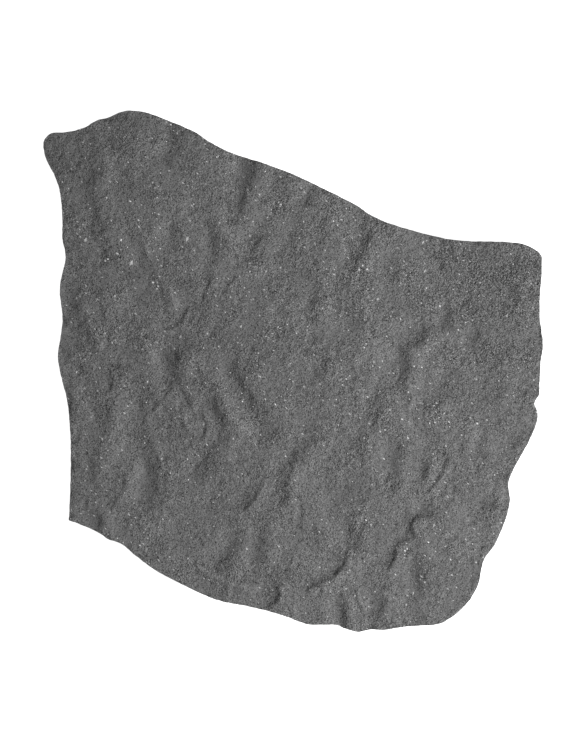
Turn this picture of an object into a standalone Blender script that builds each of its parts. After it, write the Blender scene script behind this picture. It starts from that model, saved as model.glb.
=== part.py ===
"""Riven basalt slab: one flat piece of stone with a cleft top face, hammer-trimmed edges and a sawn back.

Metres, +Z up. The back lies on Z = 0 with the middle of the slab's box over the origin.
+Y runs along the slab's length and +X across it. Run it from Blender's text editor or with
blender --background --python part.py.
"""

import math

import bmesh
import bpy
from mathutils import Vector, noise
from mathutils.geometry import interpolate_bezier

MM = 0.001

# Overall sizes of the slab.
WIDTH = 448.5 * MM
LENGTH = 468.0 * MM
THICKNESS = 30.0 * MM  # from the sawn back to the mean level of the riven face

# The trimmed edge, from the riven face down to the back.
WIDEST_DROP = 6.0 * MM  # how far the edge's widest line lies below the mean level of the riven face
RIM_SET_IN = 1.5 * MM  # how far the riven face stops short of the widest line
RIM_DROP = 1.2 * MM  # how far the riven face falls away at its own rim
RIM_DROP_REACH = 6.0 * MM  # how far into the face that fall is felt
UNDERCUT = 3.0 * MM  # how far the split edge leans in between its widest line and the back
EDGE_RELIEF = 1.2 * MM  # deepest hollow of the split edge
EDGE_RELIEF_PITCH = 32.0 * MM
BACK_CHAMFER = 1.5 * MM

# The riven face: long, low swells of the cleft.
SWELL_HEIGHT = 1.9 * MM
SWELL_PITCH = 95.0 * MM
RIPPLE_HEIGHT = 0.7 * MM
RIPPLE_PITCH = 38.0 * MM
CLEFT_SEED = 4.7

# How finely the curved shapes are cut into flats.
OUTLINE_STEP = 6.0 * MM
FACE_STEP = 14.0 * MM
CUT_SNAP = 0.05 * MM  # a cut this near a corner goes through it
NORMAL_REACH = 2  # outline points on each side that an edge direction is taken over
SHARP_ANGLE = math.radians(35)

STONE_GREY = (0.131, 0.131, 0.131, 1.0)
STONE_ROUGHNESS = 0.86

# The outline in millimetres on its own drawing, clockwise from the lower left corner. Each run is one
# smooth curve through its points, and the slab has a sharp corner where one run ends and the next begins.
LEFT_SIDE = [
    (-201.2, -133.5), (-200.6, -118), (-200, -88), (-200.2, -58), (-203, -27), (-208.4, -5),
    (-211.5, 13), (-209, 31), (-207.2, 46), (-209.8, 71), (-208.6, 83), (-204.7, 102),
    (-207.5, 120), (-207.2, 137), (-209.8, 161), (-214.6, 176), (-221.8, 190), (-224.4, 203),
]
TOP_SIDE = [
    (-222.4, 209), (-217, 213.8), (-209, 214.6), (-198, 216), (-186, 219.8), (-176, 225.4),
    (-167, 227.8), (-156, 232.6), (-146, 234.3), (-134, 233), (-114, 226), (-90, 216),
    (-77, 207.4), (-57, 196.9), (-35, 189.8), (-4, 178.6), (16, 169.8), (58, 148.4),
    (67, 141.8), (85, 133.2), (115, 124.6), (143, 118.3), (174, 116.9), (198, 116),
    (209, 113.6), (219.5, 108), (223.1, 103),
]
RIGHT_SIDE = [
    (223.1, 103), (223, 88), (221.9, 72), (221.2, 49), (223.4, 32), (224.1, 23),
    (222.3, 9), (221, -12), (220.6, -21), (216.4, -28.5),
]
RIGHT_CURVE = [
    (216.4, -28.5), (219.3, -38.5), (216.6, -51), (208.4, -69), (198.5, -86), (193, -100),
    (194.5, -114), (190.6, -133), (181.5, -154), (171.5, -168.5), (168.6, -179), (166.4, -190),
    (160, -203), (148.5, -215.5), (132, -226), (119, -228), (98, -229.5), (82, -232),
    (70, -231.8), (58, -233.9),
]
LOWER_SIDE = [
    (58, -233.9), (46, -230.8), (38, -227.8), (12, -227), (-3, -221.6), (-22, -215.4),
    (-45, -210.4), (-68, -205.6), (-97, -193), (-124, -178.2), (-143, -164.2), (-154, -154.8),
    (-167, -150.2), (-171.5, -146.5), (-184, -140.2), (-201.2, -133.5),
]
RUNS = [LEFT_SIDE + TOP_SIDE, RIGHT_SIDE, RIGHT_CURVE, LOWER_SIDE]


def clear_scene():
    """Removes whatever the scene holds."""
    for obj in list(bpy.data.objects):
        bpy.data.objects.remove(obj)


def smooth_run(points, step):
    """Points about one step apart along the smooth curve through these points, without the last one."""
    knots = [Vector(point) for point in points]
    last = len(knots) - 1
    found = []
    for i in range(last):
        start, end = knots[i], knots[i + 1]
        gap = (end - start).length
        leaving = (end - knots[max(i - 1, 0)]).normalized() * gap / 3
        arriving = (knots[min(i + 2, last)] - start).normalized() * gap / 3
        pieces = max(1, round(gap / step))
        found += interpolate_bezier(start, start + leaving, end - arriving, end, pieces + 1)[:-1]
    return found


def slab_outline():
    """The slab's widest line as flat points in metres, counter-clockwise, fitted to WIDTH and LENGTH."""
    drawn = [point for run in RUNS for point in smooth_run(run, OUTLINE_STEP / MM)]
    low = Vector((min(p.x for p in drawn), min(p.y for p in drawn)))
    high = Vector((max(p.x for p in drawn), max(p.y for p in drawn)))
    middle, size = (low + high) / 2, high - low
    fitted = [Vector(((p.x - middle.x) / size.x * WIDTH, (p.y - middle.y) / size.y * LENGTH)) for p in drawn]
    return fitted[::-1]


def inward_directions(outline):
    """A unit vector into the slab at each point of the outline."""
    count = len(outline)
    found = []
    for i in range(count):
        along = outline[(i + NORMAL_REACH) % count] - outline[i - NORMAL_REACH]
        found.append(Vector((-along.y, along.x)).normalized())
    return found


def distance_inside(place, outline):
    """How far a flat place lies from the nearest stretch of the outline."""
    found = []
    for i, end in enumerate(outline):
        along = end - outline[i - 1]
        share = (place - outline[i - 1]).dot(along) / along.length_squared
        found.append((place - outline[i - 1] - along * min(max(share, 0.0), 1.0)).length)
    return min(found)


def riven_level(place, edge_distance):
    """Height of the riven face at a flat place that lies edge_distance inside the widest line."""
    swell = noise.noise(Vector((place.x / SWELL_PITCH, place.y / SWELL_PITCH, CLEFT_SEED)))
    ripple = noise.noise(Vector((place.x / RIPPLE_PITCH, place.y / RIPPLE_PITCH, 2 * CLEFT_SEED)))
    fall = RIM_DROP * math.exp((RIM_SET_IN - edge_distance) / RIM_DROP_REACH)
    return THICKNESS + SWELL_HEIGHT * swell + RIPPLE_HEIGHT * ripple - fall


def split_hollow(place):
    """How far the split edge is hollowed at a place on the widest line, from about 0 to EDGE_RELIEF."""
    rough = noise.noise(Vector((place.x / EDGE_RELIEF_PITCH, place.y / EDGE_RELIEF_PITCH, CLEFT_SEED)))
    return EDGE_RELIEF * (0.5 + 0.5 * rough)


def edge_rings(outline):
    """The places of each ring round the slab's edge, from the rim of the back up to the riven face's rim."""
    back, foot, widest, face = [], [], [], []
    for place, into in zip(outline, inward_directions(outline)):
        lean = UNDERCUT + split_hollow(place)
        back.append((place + into * (lean + BACK_CHAMFER)).to_3d())
        foot.append((place + into * lean).to_3d() + Vector((0, 0, BACK_CHAMFER)))
        widest.append(place.to_3d() + Vector((0, 0, THICKNESS - WIDEST_DROP)))
        rim = place + into * RIM_SET_IN
        face.append(Vector((rim.x, rim.y, riven_level(rim, RIM_SET_IN))))
    return [back, foot, widest, face]


def add_ring(bm, places):
    """Adds a closed ring of edges through these places."""
    verts = [bm.verts.new(place) for place in places]
    return [bm.edges.new((verts[i - 1], vert)) for i, vert in enumerate(verts)]


def cut_lines(low, high):
    """Places FACE_STEP apart between low and high, with equal margins at both ends."""
    count = int((high - low) / FACE_STEP)
    first = (low + high - count * FACE_STEP) / 2
    return [first + i * FACE_STEP for i in range(count + 1)]


def cut_into_flats(bm, face):
    """Cuts one face into square flats by lines along X and along Y."""
    places = [vert.co.copy() for vert in face.verts]
    pieces = [face]
    for axis in range(2):
        normal = Vector((axis == 0, axis == 1, 0))
        low, high = min(place[axis] for place in places), max(place[axis] for place in places)
        for level in cut_lines(low, high):
            edges = {edge for piece in pieces for edge in piece.edges}
            verts = {vert for piece in pieces for vert in piece.verts}
            made = bmesh.ops.bisect_plane(
                bm, geom=[*pieces, *edges, *verts], dist=CUT_SNAP, plane_co=normal * level, plane_no=normal
            )
            pieces = [item for item in made["geom"] if isinstance(item, bmesh.types.BMFace)]
    return pieces


def rive_face(bm, face, outline):
    """Gives the flat top face the swells of the cleft, apart from its rim, which has its height already."""
    pieces = cut_into_flats(bm, face)
    inside = set(pieces)
    for vert in {vert for piece in pieces for vert in piece.verts}:
        if inside.issuperset(vert.link_faces):
            flat = vert.co.xy
            vert.co.z = riven_level(flat, distance_inside(flat, outline))


def stone_material():
    """Dull, neutral dark grey stone."""
    material = bpy.data.materials.new("basalt")
    material.use_nodes = True
    shader = material.node_tree.nodes["Principled BSDF"]
    shader.inputs["Base Color"].default_value = STONE_GREY
    shader.inputs["Roughness"].default_value = STONE_ROUGHNESS
    shader.inputs["Metallic"].default_value = 0.0
    return material


def build_slab():
    """The slab as one closed mesh: rings round its edge, a flat back and the riven face on top."""
    outline = slab_outline()
    bm = bmesh.new()
    rings = [add_ring(bm, places) for places in edge_rings(outline)]
    for lower, upper in zip(rings, rings[1:]):
        bmesh.ops.bridge_loops(bm, edges=lower + upper)
    bmesh.ops.contextual_create(bm, geom=rings[0])
    face = bmesh.ops.contextual_create(bm, geom=rings[-1])["faces"][0]
    rive_face(bm, face, outline)
    bmesh.ops.recalc_face_normals(bm, faces=bm.faces[:])
    mesh = bpy.data.meshes.new("stone_slab")
    bm.to_mesh(mesh)
    bm.free()
    mesh.shade_smooth()
    mesh.set_sharp_from_angle(angle=SHARP_ANGLE)
    mesh.materials.append(stone_material())
    return mesh


def main():
    """Builds the slab as one object."""
    clear_scene()
    slab = bpy.data.objects.new("stone_slab", build_slab())
    bpy.context.scene.collection.objects.link(slab)


main()
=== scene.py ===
"""Looks of one riven basalt slab: its cleft face, split edge, sawn back, and a plain pale studio.

The slab's outline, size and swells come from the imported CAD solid. This script adds what the cleft, the trimming
hammer and the saw leave on the stone, and dresses it in procedural basalt. Metres, +Z up.
"""

import logging
import math
from dataclasses import dataclass, field
from enum import Enum

import bmesh
import bpy
import numpy as np
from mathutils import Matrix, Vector, noise
from mathutils.kdtree import KDTree


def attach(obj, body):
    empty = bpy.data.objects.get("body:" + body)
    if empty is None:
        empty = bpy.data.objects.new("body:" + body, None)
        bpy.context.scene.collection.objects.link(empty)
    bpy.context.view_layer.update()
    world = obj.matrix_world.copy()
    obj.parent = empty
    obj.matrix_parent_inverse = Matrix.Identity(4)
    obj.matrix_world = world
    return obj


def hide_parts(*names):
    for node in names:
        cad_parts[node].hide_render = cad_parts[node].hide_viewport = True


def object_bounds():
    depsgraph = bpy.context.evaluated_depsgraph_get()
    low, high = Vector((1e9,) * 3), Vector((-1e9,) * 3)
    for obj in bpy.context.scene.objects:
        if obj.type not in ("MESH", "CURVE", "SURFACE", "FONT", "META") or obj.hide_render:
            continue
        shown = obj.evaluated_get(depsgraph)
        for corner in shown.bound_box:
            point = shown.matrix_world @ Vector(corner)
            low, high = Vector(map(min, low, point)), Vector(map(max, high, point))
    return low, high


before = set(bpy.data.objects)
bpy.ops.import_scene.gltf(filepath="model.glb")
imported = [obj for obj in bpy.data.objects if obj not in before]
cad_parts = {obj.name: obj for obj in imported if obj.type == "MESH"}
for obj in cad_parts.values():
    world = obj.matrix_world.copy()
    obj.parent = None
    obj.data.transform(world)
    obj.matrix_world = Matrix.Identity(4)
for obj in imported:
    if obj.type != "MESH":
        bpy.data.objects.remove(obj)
cad_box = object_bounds()
log = logging.getLogger("slab")

MM = 0.001
CAD_NODE = "stone_slab"
WHITE = (1.0, 1.0, 1.0, 1.0)

# Fractal noise of broken stone: how fast its scales fade, how much finer each is, and how many there are.
CRUMBLE_SCALES = (0.7, 2.0, 3)
GRIT_SCALES = (0.6, 2.1, 3)
CHIP_LAYER = 3.0  # layer of the noise that gives the chips of the foot

# Askew to every row of corners, so that no two lie equally far along it.
SORTING_WAY = Vector((1.0, 0.618, 0.357))

Point = tuple[float, float]
Inputs = dict[str | int, object]
Ring = dict[bmesh.types.BMVert, int]


class Part(Enum):
    """Which finish a face of the slab takes: the value is its material slot."""

    RIVEN = 0
    SAWN = 1


def against_line(line: tuple[Point, ...], x: np.ndarray, y: np.ndarray) -> tuple[np.ndarray, np.ndarray, np.ndarray]:
    """Measures places against a line of straight stretches.

    Args:
        line: places the line runs through, in mm.
        x: places along X, in mm.
        y: places along Y, in mm.

    Returns:
        How far each place lies from the line, how far it lies to the left of the nearest stretch, and how far past
        the ends of that stretch, in mm.
    """
    nearest = np.full(x.shape, np.inf)
    side, overrun = np.zeros(x.shape), np.zeros(x.shape)
    for (ax, ay), (bx, by) in zip(line, line[1:]):
        length = math.hypot(bx - ax, by - ay)
        dx, dy = (bx - ax) / length, (by - ay) / length
        along = (x - ax) * dx + (y - ay) * dy
        across = (y - ay) * dx - (x - ax) * dy
        beyond = np.maximum(np.maximum(-along, along - length), 0.0)
        distance = np.hypot(beyond, across)
        closer = distance < nearest
        nearest = np.where(closer, distance, nearest)
        side = np.where(closer, across, side)
        overrun = np.where(closer, beyond, overrun)
    return nearest, side, overrun


@dataclass(frozen=True)
class Scarp:
    """A step where the cleft jumped from one layer to the next.

    The ground is high on the left of the line as it is drawn, and falls back to level on both sides.

    Attributes:
        rise: height of the step, in mm.
        width: how far the step takes to climb, in mm.
        line: places the step runs through, in mm from the slab's middle.
        reach: how far the step is felt on either side, in mm.
        steepness: of the climb; 1 spreads it over the width on both sides of the line.
        fading: how soon the step dies out past its ends, as a share of its reach.
    """

    rise: float
    width: float
    line: tuple[Point, ...]
    reach: float = 13.0
    steepness: float = 1.3
    fading: float = 0.45

    def heights(self, x: np.ndarray, y: np.ndarray) -> np.ndarray:
        """Height that this step adds at each place.

        Args:
            x: places along X, in mm.
            y: places along Y, in mm.

        Returns:
            Heights in mm.
        """
        _, side, overrun = against_line(self.line, x, y)
        step = np.sin(np.clip(self.steepness * side / self.width, -1.0, 1.0) * math.pi / 2)
        ends = np.exp(-((overrun / (self.fading * self.reach)) ** 2))
        return self.rise / 2 * step * ends * np.exp(-np.abs(side) / self.reach)


@dataclass(frozen=True)
class Fold:
    """A ridge of the cleft, or a hollow.

    Attributes:
        height: of its crest, in mm; negative for a hollow.
        width: half the width of its rounded top, in mm.
        line: places the crest runs through, in mm from the slab's middle.
    """

    height: float
    width: float
    line: tuple[Point, ...]

    def heights(self, x: np.ndarray, y: np.ndarray) -> np.ndarray:
        """Height in mm that this fold adds at each place, given in mm."""
        nearest = against_line(self.line, x, y)[0]
        return self.height * np.exp(-0.5 * (nearest / self.width) ** 2)


@dataclass(frozen=True)
class Patch:
    """A broad patch where something about the stone is stronger or weaker.

    Attributes:
        strength: at its middle, against 1 for the rest of the stone.
        reach: of the patch, in mm.
        place: its middle, in mm from the slab's middle.
    """

    strength: float
    reach: float
    place: Point

    def strengths(self, x: np.ndarray, y: np.ndarray) -> np.ndarray:
        """Strength at each place, given in mm."""
        apart = (x - self.place[0]) ** 2 + (y - self.place[1]) ** 2
        return 1 + (self.strength - 1) * np.exp(-apart / self.reach**2)


@dataclass(frozen=True)
class Ripple:
    """One scale of the cleft's waviness, steeper on the side that faces -X.

    Attributes:
        height: from the mean level to a high crest, in mm.
        pitch: spacing of the crests, in mm.
        stretch: how much longer the crests run than they are wide.
        bearing: way the crests run, in degrees from +Y towards +X.
        lean: how far the crests lean towards -X, as a share of the pitch.
    """

    height: float
    pitch: float
    stretch: float = 1.0
    bearing: float = 0.0
    lean: float = 0.0

    def sample(self, x: np.ndarray, y: np.ndarray) -> np.ndarray:
        """Reads plain smooth noise at this scale.

        Args:
            x: places along X, in mm.
            y: places along Y, in mm.

        Returns:
            The noise at each place, from about -1 to 1.
        """
        turn = math.radians(self.bearing)
        across = (x * math.cos(turn) - y * math.sin(turn)) / self.pitch
        along = (x * math.sin(turn) + y * math.cos(turn)) / (self.pitch * self.stretch)
        flat = [noise.noise(Vector((a, b, self.pitch))) for a, b in zip(across.flat, along.flat)]
        return np.array(flat).reshape(x.shape)

    def heights(self, x: np.ndarray, y: np.ndarray) -> np.ndarray:
        """Height that this ripple adds at each place.

        Args:
            x: places along X, in mm.
            y: places along Y, in mm.

        Returns:
            Heights in mm.
        """
        level = self.sample(x, y)
        if self.lean:
            level = self.sample(x + self.lean * self.pitch * level, y)
        return self.height * level


@dataclass(frozen=True)
class Pits:
    """Scattered pits where flakes pulled out of the stone.

    Attributes:
        depth: of the deepest pits, in mm.
        pitch: spacing of the noise that places them, in mm; a pit is about half as wide.
        level: how high that noise has to be for a pit to start.
        slope: how much higher it has to be for the pit to reach its depth.
    """

    depth: float
    pitch: float
    level: float = 0.32
    slope: float = 0.28

    def heights(self, x: np.ndarray, y: np.ndarray) -> np.ndarray:
        """Height in mm, nought or less, that these pits add at each place, given in mm."""
        over = Ripple(1.0, self.pitch).sample(x, y) - self.level
        return -self.depth * np.clip(over / self.slope, 0.0, 1.0)


# Ridges of the cleft and, with a height below nought, its hollows: height, half width and line, in mm from the
# slab's middle, going round the face from its far left corner.
FOLDS = (
    Fold(1.4, 7, ((-173, 212), (-168, 186), (-173, 162), (-162, 129), (-151, 103))),
    Fold(0.6, 11, ((-136, 222), (-140, 205))),
    Fold(-1.8, 5.5, ((-109, 219), (-112, 204), (-116, 192))),
    Fold(0.8, 8, ((-95, 212), (-84, 192))),
    Fold(-0.7, 5.5, ((-166, 216), (-160, 192), (-156, 171))),
    Fold(1.5, 6.5, ((-28, 183), (-32, 165), (-37, 147))),
    Fold(-1.5, 6.5, ((-43, 187), (-49, 162), (-57, 139))),
    Fold(-0.6, 5, ((-14, 175), (-15, 150))),
    Fold(0.4, 6, ((-110, 175), (-92, 173))),
    Fold(-0.4, 5, ((-88, 168), (-90, 160))),
    Fold(-2.0, 6, ((-33, 121), (-41, 108))),
    Fold(0.8, 7, ((-26, 114), (-24, 104))),
    Fold(0.8, 5, ((-69, 135), (-57, 119))),
    Fold(-1.0, 4.5, ((-78, 130), (-75, 116), (-71, 102))),
    Fold(-1.0, 5, ((-108, 126), (-108, 117))),
    Fold(0.5, 5, ((-99, 150), (-97, 126))),
    Fold(1.0, 7, ((-126, 128), (-130, 116))),
    Fold(-0.6, 4.5, ((-146, 122), (-139, 104))),
    Fold(-0.7, 7, ((-188, 166), (-183, 150), (-176, 134))),
    Fold(-0.9, 6, ((-180, 126), (-176, 113))),
    Fold(1.2, 3.5, ((-124, 92), (-115, 79), (-106, 62))),
    Fold(-0.9, 5, ((-151, 84), (-139, 64))),
    Fold(0.6, 5, ((-168, 90), (-163, 56))),
    Fold(-1.1, 5, ((-74, 118), (-80, 92), (-77, 66))),
    Fold(0.7, 6, ((-69, 74), (-75, 46))),
    Fold(1.2, 3.5, ((-188, 58), (-180, 42), (-174, 22))),
    Fold(-0.8, 5, ((-200, 56), (-192, 34))),
    Fold(-1.0, 4.5, ((-12, 52), (-15, 32))),
    Fold(0.6, 6, ((-3, 58), (-2, 48))),
    Fold(-0.5, 6, ((-151, 46), (-147, 29))),
    Fold(-0.5, 5, ((-66, 38), (-76, 26))),
    Fold(0.7, 8, ((-132, 24), (-130, 10), (-130, -12))),
    Fold(-2.0, 6, ((-116, 13), (-111, -7))),
    Fold(1.6, 6, ((-93, 12), (-94, 0))),
    Fold(-1.5, 5, ((17, 166), (8, 152))),
    Fold(0.9, 9, ((15, 151), (29, 137))),
    Fold(-1.3, 5.5, ((24, 131), (20, 119))),
    Fold(-0.7, 7, ((42, 131), (60, 131))),
    Fold(-1.3, 5, ((61, 119), (59, 110), (50, 98))),
    Fold(1.3, 6, ((73, 120), (71, 110), (64, 99))),
    Fold(-0.8, 5, ((136, 114), (127, 104))),
    Fold(0.5, 5, ((143, 110), (147, 100))),
    Fold(0.6, 7, ((189, 108), (186, 96))),
    Fold(-0.7, 5, ((200, 98), (214, 94))),
    Fold(0.5, 7, ((156, 94), (152, 82))),
    Fold(0.6, 5, ((203, 82), (204, 58))),
    Fold(-0.8, 4, ((196, 74), (196, 62))),
    Fold(-0.6, 3.5, ((185, 93), (186, 86))),
    Fold(0.5, 6, ((30, 90), (26, 55))),
    Fold(-0.4, 5, ((17, 76), (18, 64))),
    Fold(-1.3, 5, ((15, 58), (14, 46))),
    Fold(-0.8, 8, ((44, 52), (52, 38))),
    Fold(0.7, 7, ((62, 58), (66, 42))),
    Fold(0.7, 6, ((83, 54), (84, 44))),
    Fold(-1.2, 8.5, ((112, 34), (97, 26), (92, 8), (92, -12))),
    Fold(1.8, 6, ((124, 30), (110, 14), (106, -12))),
    Fold(-1.4, 4.5, ((137, 55), (134, 42))),
    Fold(-1.3, 5.5, ((157, 30), (166, 21))),
    Fold(0.5, 5, ((126, 64), (142, 61))),
    Fold(0.8, 6, ((173, 30), (190, 8))),
    Fold(-0.4, 9, ((117, 80), (106, 66))),
    Fold(0.8, 7, ((28, 12), (32, -6))),
    Fold(-1.1, 5, ((24, 8), (19, -3))),
    Fold(-0.6, 5, ((4, 0), (3, -10))),
    Fold(-0.7, 5, ((51, -1), (49, -14))),
    Fold(-1.1, 6, ((136, -2), (131, -16))),
    Fold(-0.7, 5, ((206, -12), (201, -18))),
    Fold(0.5, 6, ((213, -32), (208, -44))),
    Fold(-0.4, 7, ((15, -24), (8, -33))),
    Fold(-1.1, 6, ((73, -21), (66, -37))),
    Fold(0.9, 8, ((84, -20), (91, -47))),
    Fold(-0.8, 5, ((121, -27), (108, -39), (116, -56))),
    Fold(0.8, 6, ((138, -34), (150, -48), (162, -58))),
    Fold(0.5, 5, ((174, -60), (174, -70))),
    Fold(-0.7, 7, ((61, -48), (54, -64))),
    Fold(0.9, 8, ((27, -60), (19, -72), (8, -86), (2, -104))),
    Fold(-1.1, 5.5, ((9, -66), (0, -76))),
    Fold(-0.9, 5, ((-9, -76), (-15, -99), (-12, -113))),
    Fold(0.5, 7, ((69, -64), (68, -78))),
    Fold(-0.8, 7, ((86, -64), (84, -100))),
    Fold(0.9, 5, ((109, -62), (99, -82), (99, -99))),
    Fold(-0.6, 7, ((60, -73), (53, -100))),
    Fold(-1.7, 4.5, ((115, -86), (115, -88))),
    Fold(1.1, 5, ((127, -84), (122, -97))),
    Fold(-0.5, 4, ((134, -70), (134, -77))),
    Fold(-0.9, 4, ((184, -90), (180, -97))),
    Fold(-0.9, 4, ((168, -60), (166, -72))),
    Fold(-0.8, 4, ((202, -56), (196, -63))),
    Fold(0.8, 13, ((73, -114), (62, -130))),
    Fold(-0.6, 6, ((35, -110), (32, -124))),
    Fold(-1.3, 5, ((48, -139), (54, -157))),
    Fold(0.7, 7, ((26, -134), (28, -156))),
    Fold(-0.6, 6, ((3, -144), (-4, -162))),
    Fold(-1.0, 5, ((117, -124), (102, -132))),
    Fold(0.9, 7, ((112, -136), (117, -150))),
    Fold(-0.6, 4.5, ((94, -148), (88, -162), (70, -173))),
    Fold(0.7, 5, ((94, -168), (87, -180))),
    Fold(-0.6, 5, ((2, -185), (17, -187), (31, -179), (38, -168))),
    Fold(0.8, 5, ((19, -197), (34, -191), (44, -179), (50, -166))),
    Fold(-0.9, 5, ((106, -172), (108, -190))),
    Fold(0.7, 7, ((120, -156), (124, -192))),
    Fold(1.1, 6, ((50, -210), (52, -229))),
    Fold(-1.3, 5, ((40, -210), (41, -228))),
    Fold(-0.9, 5.5, ((73, -208), (71, -226))),
    Fold(0.8, 7, ((85, -198), (87, -222))),
    Fold(-1.1, 5, ((105, -204), (109, -222))),
    Fold(-0.9, 6, ((170, -121), (162, -132))),
    Fold(-0.3, 7, ((141, -176), (136, -192))),
    Fold(0.4, 7, ((4, -168), (0, -176))),
    Fold(-0.9, 6, ((-190, 2), (-182, -20), (-172, -42))),
    Fold(0.5, 6, ((-196, -20), (-194, -32))),
    Fold(1.3, 7, ((-154, -10), (-157, -40), (-164, -70), (-169, -80))),
    Fold(-1.0, 6, ((-134, -18), (-139, -40))),
    Fold(-1.4, 7.5, ((-142, -56), (-136, -74))),
    Fold(-1.3, 6, ((-131, -86), (-132, -106), (-134, -122))),
    Fold(0.9, 6, ((-132, -42), (-124, -66), (-113, -93))),
    Fold(0.7, 6, ((-144, -92), (-152, -113))),
    Fold(1.1, 6, ((-168, -128), (-166, -139))),
    Fold(-1.3, 4.5, ((-181, -128), (-177, -135))),
    Fold(-0.7, 5, ((-169, -108), (-166, -118))),
    Fold(-0.9, 5, ((-182, -94), (-179, -101))),
    Fold(0.5, 6, ((-190, -110), (-184, -117))),
    Fold(0.5, 6, ((-171, -92), (-167, -99))),
    Fold(-2.2, 6, ((-58, 2), (-50, -14), (-43, -28))),
    Fold(1.0, 6, ((-70, -8), (-64, -28), (-58, -38))),
    Fold(1.8, 7, ((-56, -38), (-47, -48))),
    Fold(-1.2, 5, ((-76, -28), (-67, -42))),
    Fold(-0.8, 5, ((-97, -22), (-86, -40))),
    Fold(0.7, 4, ((-104, -36), (-93, -52))),
    Fold(-1.2, 6, ((-64, -58), (-76, -74), (-88, -92))),
    Fold(0.8, 9, ((-59, -66), (-67, -96))),
    Fold(-1.1, 6, ((-34, -40), (-24, -60))),
    Fold(0.8, 7, ((-33, -8), (-18, -28), (-6, -50))),
    Fold(-0.6, 6, ((-44, -80), (-36, -96))),
    Fold(0.8, 5, ((-26, -104), (-36, -122))),
    Fold(-0.9, 5, ((-40, -108), (-46, -118))),
    Fold(-0.7, 5, ((-70, -98), (-74, -122))),
    Fold(-0.9, 5, ((-33, -146), (-34, -164))),
    Fold(0.8, 6, ((-18, -138), (-24, -174))),
    Fold(-1.4, 5.5, ((-54, -148), (-58, -158), (-68, -168))),
    Fold(1.0, 7, ((-44, -159), (-54, -178))),
    Fold(0.8, 5, ((-11, -196), (-12, -202))),
    Fold(-0.7, 6, ((-20, -189), (-26, -206))),
    Fold(-1.1, 5, ((-124, -154), (-128, -168))),
    Fold(-0.4, 6, ((-96, -182), (-78, -192))),
)

# Steps where the cleft jumped from one layer to the next, each beside the ridge that it bounds.
SCARPS = (
    Scarp(0.6, 6.0, ((-33, 188), (-42, 163), (-50, 136))),
    Scarp(0.6, 4.0, ((70, 124), (67, 109), (58, 100))),
    Scarp(0.5, 5.5, ((119, 31), (103, 19), (98, -17))),
    Scarp(0.9, 4.0, ((-54, 0), (-44, -15), (-33, -28))),
    Scarp(0.8, 4.0, ((-76, -25), (-60, -39), (-66, -60), (-84, -84))),
    Scarp(0.6, 4.0, ((2, -70), (-7, -107))),
    Scarp(0.5, 4.0, ((92, -70), (91, -98))),
    Scarp(1.2, 2.0, ((48, -163), (45, -172), (39, -181), (33, -187), (24, -189), (14, -196))),
    Scarp(1.25, 1.8, ((104, -151), (95, -152), (91, -158), (91, -167), (86, -175)), 9.0),
    Scarp(0.5, 4.0, ((114, -158), (114, -190))),
    Scarp(0.6, 4.0, ((80, -209), (73, -228))),
    Scarp(0.7, 3.5, ((44, -212), (47, -228))),
    Scarp(0.7, 4.0, ((61, -142), (57, -155))),
)

# Ledges thinner than a finger nail, and one crack that runs with them.
LEDGES = (
    Scarp(1.6, 1.3, ((137, -81), (134, -89), (128, -100), (120, -108)), 6.0),
    Scarp(1.7, 1.6, ((117, -131), (110, -130), (106, -136), (106, -142), (108, -146)), 7.0),
    Scarp(1.3, 1.6, ((86, -175), (80, -173), (71, -173)), 6.0),
    Scarp(1.6, 1.5, ((56, -196), (58, -207), (61, -213)), 5.0),
    Scarp(1.3, 1.6, ((-99, -17), (-93, -29), (-88, -39)), 6.0),
    Scarp(1.3, 1.8, ((-81, -38), (-78, -46), (-78, -53), (-83, -61)), 6.0),
    Scarp(1.3, 1.5, ((-102, -43), (-95, -52)), 5.0),
    Scarp(1.7, 1.5, ((-34, -191), (-52, -189), (-73, -181), (-84, -174)), 5.0),
    Scarp(1.3, 1.5, ((-14, -193), (-12, -199), (-16, -207), (-23, -211)), 5.0),
    Scarp(1.2, 1.6, ((105, -23), (101, -33), (104, -40), (110, -42)), 6.0),
    Scarp(0.8, 2.2, ((-110, -16), (-119, -29), (-132, -41)), 6.0),
    Scarp(0.8, 2.2, ((-148, -92), (-153, -108), (-163, -125)), 6.0),
    Scarp(0.8, 1.8, ((-29, -105), (-34, -114), (-42, -122)), 6.0),
    Scarp(1.0, 1.5, ((-44, -123), (-62, -124), (-69, -117)), 5.0),
    Scarp(1.3, 1.4, ((-51, 84), (-56, 77), (-62, 69)), 5.0),
    Scarp(1.4, 1.6, ((-95, 55), (-99, 46), (-104, 41), (-114, 37)), 6.0),
    Scarp(1.2, 1.6, ((-71, 86), (-76, 76), (-80, 64)), 5.0),
)

# Broad patches where the colour is made darker or paler, darker mostly on the right side.
SHADE_PATCHES = (
    Patch(0.84, 70.0, (200, 105)),
    Patch(0.97, 60.0, (120, 100)),
    Patch(0.87, 75.0, (220, 0)),
    Patch(1.05, 55.0, (70, 20)),
    Patch(0.95, 60.0, (-60, 0)),
    Patch(1.06, 45.0, (-80, 120)),
    Patch(0.93, 60.0, (-215, 190)),
    Patch(1.05, 50.0, (-125, 200)),
    Patch(1.05, 60.0, (-170, -100)),
    Patch(0.89, 90.0, (180, -110)),
    Patch(0.9, 60.0, (125, -215)),
    Patch(1.06, 60.0, (-95, 175)),
    Patch(1.05, 75.0, (30, 140)),
    Patch(0.95, 45.0, (-95, -105)),
    Patch(0.96, 45.0, (-147, -161)),
)

# Places where the surface is coarser or finer than elsewhere.
COARSE_PATCHES = (
    Patch(1.65, 55.0, (195, 75)),
    Patch(1.12, 70.0, (40, 110)),
    Patch(0.82, 90.0, (-150, -140)),
    Patch(0.86, 90.0, (-140, 150)),
    Patch(0.85, 90.0, (120, -190)),
)

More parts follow.
